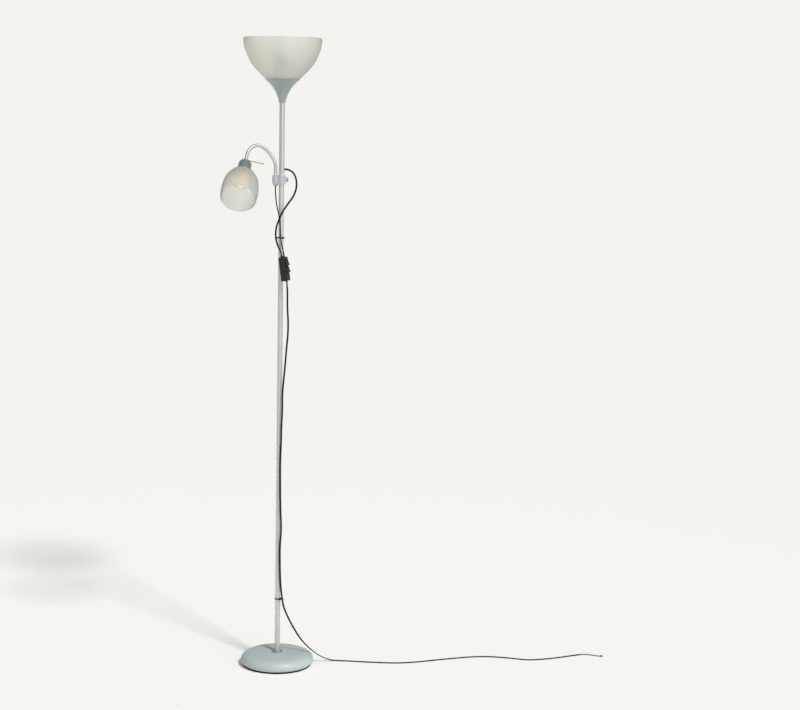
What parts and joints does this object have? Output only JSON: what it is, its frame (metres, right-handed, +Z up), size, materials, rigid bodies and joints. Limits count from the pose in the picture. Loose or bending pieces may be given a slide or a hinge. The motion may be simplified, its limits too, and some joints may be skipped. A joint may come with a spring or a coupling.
{
  "type": "torchiere floor lamp with reading light",
  "caption": "Slim grey torchiere floor lamp with a frosted bowl uplight, a reading light on a flexible neck, an inline switch on a black cord, and a round weighted base.",
  "frame": {"origin": "centre of the base pad's underside, on the floor", "axes": "+Z up along the pole, +X towards the free end of the mains cord, -Y towards the side that the reading light's mouth faces"},
  "size_m": [1.1133, 0.398, 1.799],
  "materials": {
    "satin_grey_paint": "satin",
    "base_paint": "satin",
    "cast_weight": "rough",
    "black_foam": "matte",
    "zinc_steel": "satin",
    "frosted_plastic": "satin",
    "grey_plastic": "satin",
    "lilac_grey_plastic": "satin",
    "white_plastic": "satin",
    "black_plastic": "gloss",
    "black_cord": "satin",
    "neck_steel": "satin",
    "opal_glass": "opal",
    "clear_glass": "clear",
    "filament": "satin",
    "plated_brass": "satin",
    "nickel": "polished"
  },
  "bodies": {
    "stand": {"base_cover": "base_paint", "base_nut": "zinc_steel", "base_pad": "black_foam", "base_stud": "zinc_steel", "base_washer": "zinc_steel", "base_weight": "cast_weight", "bowl_shade": "frosted_plastic", "bulb_cap": "nickel", "bulb_globe": "opal_glass", "cable_tie_lower": "black_plastic", "cable_tie_upper": "black_plastic", "cord_end_cap": "black_plastic", "cord_tail": "black_cord", "foot_ring": "satin_grey_paint", "inner_lead": "black_cord", "lampholder": "white_plastic", "lead_floor": "black_cord", "lead_hanging": "black_cord", "loop_cord": "black_cord", "pole_coupler_1": "zinc_steel", "pole_coupler_2": "zinc_steel", "pole_coupler_3": "zinc_steel", "pole_grommet": "black_foam", "pole_section_1": "satin_grey_paint", "pole_section_2": "satin_grey_paint", "pole_section_3": "satin_grey_paint", "pole_section_4": "satin_grey_paint", "reading_cord_lower": "black_cord", "rocker_pins": "zinc_steel", "shade_cup": "grey_plastic", "shade_ring": "white_plastic", "switch_back_shell": "black_plastic", "switch_contacts": "plated_brass", "switch_front_shell": "black_plastic", "switch_screws": "zinc_steel", "top_nipple": "zinc_steel"},
    "clamp_liner": {"clamp_liner": "white_plastic"},
    "clamp": {"clamp_body": "lilac_grey_plastic", "neck_link_1": "neck_steel", "neck_nut": "zinc_steel", "neck_bush": "black_foam", "reading_cord_upper": "black_cord"},
    "thumb_screw": {"thumb_screw": "lilac_grey_plastic"},
    "neck_2": {"neck_link_2": "neck_steel"},
    "neck_3": {"neck_link_3": "neck_steel"},
    "neck_4": {"neck_link_4": "neck_steel"},
    "neck_5": {"neck_link_5": "neck_steel"},
    "head": {"neck_link_6": "neck_steel", "neck_end_nut": "zinc_steel", "head_cap": "grey_plastic", "head_handle": "nickel", "small_lampholder": "white_plastic", "small_shade_ring": "black_plastic", "small_shade": "frosted_plastic", "small_bulb_cap": "nickel", "small_bulb_globe": "clear_glass", "small_bulb_filament": "filament"},
    "upper_rocker": {"upper_rocker": "black_plastic"},
    "lower_rocker": {"lower_rocker": "black_plastic"}
  },
  "joints": [
    {"name": "clamp_slide", "type": "slide", "parent": "stand", "child": "clamp_liner", "axis": [0, 0, 1], "range_m": [-0.035, 0.004], "deforming": ["reading_cord_lower"]},
    {"name": "clamp_swivel", "type": "hinge", "parent": "clamp_liner", "child": "clamp", "pos_m": [0, 0, 1.407], "axis": [0, 0, 1], "range_deg": [-70, 90], "deforming": ["reading_cord_upper"]},
    {"name": "thumb_screw_turn", "type": "hinge", "parent": "clamp", "child": "thumb_screw", "pos_m": [0.015, 0, 1.407], "axis": [1, 0, 0], "range_deg": [-360, 0]},
    {"name": "neck_bend_1", "type": "hinge", "parent": "clamp", "child": "neck_2", "pos_m": [-0.02367, -0.00413, 1.46624], "axis": [0.6855, -0.7127, 0.1486], "range_deg": [-12, 12]},
    {"name": "neck_turn_2", "type": "hinge", "parent": "neck_2", "child": "neck_3", "pos_m": [-0.04263, -0.01801, 1.48932], "axis": [0.3976, 0.4784, 0.783], "range_deg": [-12, 12]},
    {"name": "neck_bend_3", "type": "hinge", "parent": "neck_3", "child": "neck_4", "pos_m": [-0.06296, -0.03995, 1.50162], "axis": [0.806, -0.5919, -0.0011], "range_deg": [-12, 12]},
    {"name": "neck_turn_4", "type": "hinge", "parent": "neck_4", "child": "neck_5", "pos_m": [-0.07997, -0.06687, 1.49396], "axis": [-0.257, -0.3092, 0.9156], "range_deg": [-12, 12]},
    {"name": "neck_bend_5", "type": "hinge", "parent": "neck_5", "child": "head", "pos_m": [-0.08958, -0.092, 1.47577], "axis": [0.8828, -0.354, 0.3088], "range_deg": [-12, 12]},
    {"name": "upper_rocker_press", "type": "hinge", "parent": "stand", "child": "upper_rocker", "pos_m": [0.01565, -0.02696, 1.17516], "axis": [0.3745, 0.9258, 0.0514], "range_deg": [-16, 0]},
    {"name": "lower_rocker_press", "type": "hinge", "parent": "stand", "child": "lower_rocker", "pos_m": [0.01837, -0.02696, 1.15535], "axis": [0.3745, 0.9258, 0.0514], "range_deg": [-16, 0]}
  ],
  "couplings": [
    {"joint": "neck_bend_3", "follows": "neck_bend_1", "ratio": 1},
    {"joint": "neck_bend_5", "follows": "neck_bend_1", "ratio": 1},
    {"joint": "neck_turn_4", "follows": "neck_turn_2", "ratio": 1}
  ]
}
